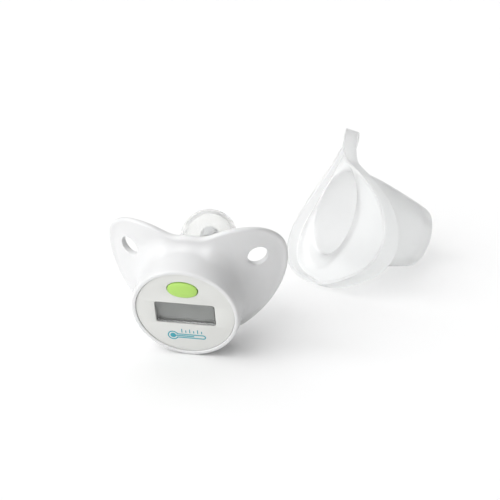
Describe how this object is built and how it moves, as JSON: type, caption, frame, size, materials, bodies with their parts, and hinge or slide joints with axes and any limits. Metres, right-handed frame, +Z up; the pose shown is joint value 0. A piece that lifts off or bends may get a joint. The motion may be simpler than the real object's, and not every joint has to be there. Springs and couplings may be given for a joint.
{
  "type": "soother thermometer",
  "caption": "Soother-shaped digital thermometer: winged shield, round display head with push button, soft teat over a probe, and a loose clear protective cap beside it.",
  "frame": {"origin": "centre of the footprint of both pieces on the table, at table height", "axes": "+Z up from the table, -Y the way the display faces, +X to the reader's right with the cap on that side and behind"},
  "size_m": [0.0772, 0.0972, 0.0388],
  "materials": {
    "housing_white": "smooth semi-gloss white",
    "face_grey": "fine satin light grey",
    "lens_clear": "clear polished window",
    "lcd_grey": "grey liquid crystal glass, no digits lit",
    "holder_white": "plain moulded",
    "conductive_rubber": "striped black elastomer",
    "board_green": "green solder mask on glass fibre board",
    "component_black": "black epoxy",
    "component_tan": "tan ceramic body",
    "button_green": "satin leaf green",
    "steel": "bright stainless",
    "contact_metal": "sprung brass strip",
    "teat_silicone": "clear soft silicone, satin",
    "stem_plastic": "light grey moulded",
    "seal_rubber": "dark grey rubber",
    "wire_red": "red insulation",
    "wire_black": "black insulation",
    "cap_clear": "frosted clear polypropylene"
  },
  "bodies": {
    "thermometer": {"shield_housing": "housing_white", "face_plate": "face_grey", "display_lens": "lens_clear", "lcd_panel": "lcd_grey", "lcd_holder": "holder_white", "elastomer_connector": "conductive_rubber", "snap_dome": "steel", "circuit_board": "board_green", "chip_blob": "component_black", "buzzer": "component_black", "chip_capacitor": "component_tan", "chip_resistor": "component_black", "battery_contact_minus": "contact_metal", "battery": "steel", "battery_contact_plus": "contact_metal", "seal_ring": "seal_rubber", "rear_cover": "housing_white", "teat_retainer": "housing_white", "retainer_screw_1": "steel", "retainer_screw_2": "steel", "retainer_screw_3": "steel", "teat": "teat_silicone", "probe_stem": "stem_plastic", "sensor_tip": "steel", "thermistor": "component_tan", "sensor_lead_1": "wire_red", "sensor_lead_2": "wire_black"},
    "button": {"power_button": "button_green"},
    "cap": {"protective_cap": "cap_clear"}
  },
  "joints": [
    {"name": "button_press", "type": "slide", "parent": "thermometer", "child": "button", "axis": [0, 0.9508, 0.3098], "range_m": [0, 0.0005], "stiffness_N_per_m": 1000},
    {"name": "cap_lift", "type": "slide", "parent": "thermometer", "child": "cap", "axis": [0, 0, 1], "range_m": [0, 0.08]}
  ]
}
